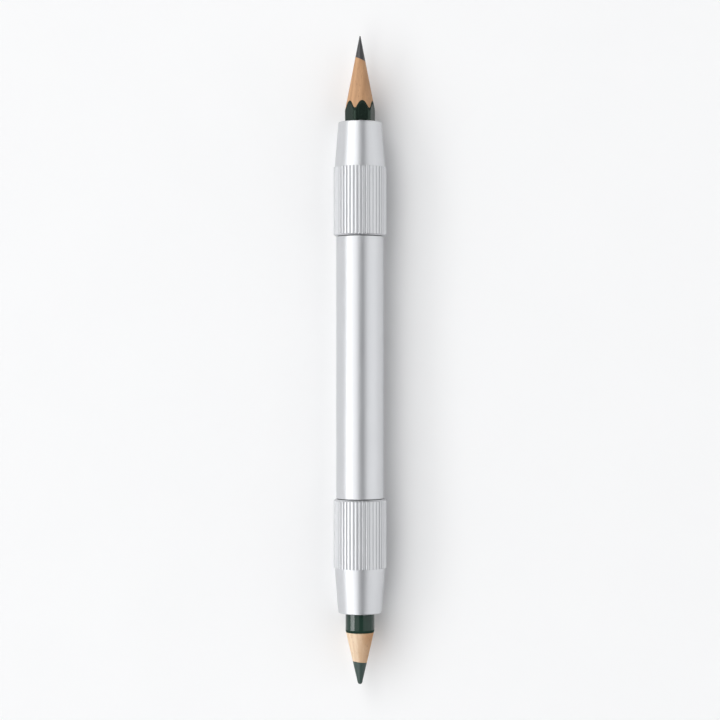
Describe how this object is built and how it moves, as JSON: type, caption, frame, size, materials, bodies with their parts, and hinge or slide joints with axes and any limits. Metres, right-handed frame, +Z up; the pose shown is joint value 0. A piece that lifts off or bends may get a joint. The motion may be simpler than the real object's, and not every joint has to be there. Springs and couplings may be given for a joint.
{
  "type": "pencil extender",
  "caption": "Slim metal pencil extender with a knurled clamp nut over a slotted collet at each end, holding a sharpened hexagonal graphite stub and a sharpened round coloured stub.",
  "frame": {"origin": "middle of the barrel, on its axis", "axes": "+Y along the axis towards the hexagonal pencil, +Z up as the extender lies on a table, +X to the right"},
  "size_m": [0.0108, 0.1323, 0.0108],
  "materials": {
    "barrel_metal": "satin",
    "nut_metal": "satin, straight knurl on the grip",
    "bush_brass": "turned",
    "collet_plastic": "moulded, matte",
    "hex_lacquer": "gloss lacquer",
    "round_lacquer": "gloss lacquer",
    "pencil_wood": "cut by a sharpener",
    "graphite": "dark, with a grey sheen",
    "green_lead": "waxy"
  },
  "bodies": {
    "barrel": {"barrel_tube": "barrel_metal", "upper_thread_bush": "bush_brass", "lower_thread_bush": "bush_brass"},
    "upper_collet_slider": {"upper_collet": "collet_plastic"},
    "upper_nut": {"upper_clamp_nut": "nut_metal"},
    "hex_pencil": {"hex_coat": "hex_lacquer", "hex_slat_front": "pencil_wood", "hex_slat_back": "pencil_wood", "graphite_lead": "graphite"},
    "lower_collet_slider": {"lower_collet": "collet_plastic"},
    "lower_nut": {"lower_clamp_nut": "nut_metal"},
    "round_pencil": {"round_coat": "round_lacquer", "round_slat_front": "pencil_wood", "round_slat_back": "pencil_wood", "colour_lead": "green_lead"}
  },
  "joints": [
    {"name": "upper_collet_slide", "type": "slide", "parent": "barrel", "child": "upper_collet_slider", "axis": [0, 1, 0], "range_m": [0, 0.00225]},
    {"name": "upper_nut_turn", "type": "hinge", "parent": "upper_collet_slider", "child": "upper_nut", "pos_m": [0, 0.0384, 0], "axis": [0, 1, 0], "range_deg": [0, 1080]},
    {"name": "hex_pencil_slide", "type": "slide", "parent": "upper_collet_slider", "child": "hex_pencil", "axis": [0, 1, 0], "range_m": [-0.008, 0.035]},
    {"name": "lower_collet_slide", "type": "slide", "parent": "barrel", "child": "lower_collet_slider", "axis": [0, -1, 0], "range_m": [0, 0.00225]},
    {"name": "lower_nut_turn", "type": "hinge", "parent": "lower_collet_slider", "child": "lower_nut", "pos_m": [0, -0.0384, 0], "axis": [0, -1, 0], "range_deg": [0, 1080]},
    {"name": "round_pencil_slide", "type": "slide", "parent": "lower_collet_slider", "child": "round_pencil", "axis": [0, -1, 0], "range_m": [-0.008, 0.032]}
  ],
  "couplings": [
    {"joint": "upper_nut_turn", "follows": "upper_collet_slide", "rad_per_m": 8377.6},
    {"joint": "lower_nut_turn", "follows": "lower_collet_slide", "rad_per_m": 8377.6}
  ]
}
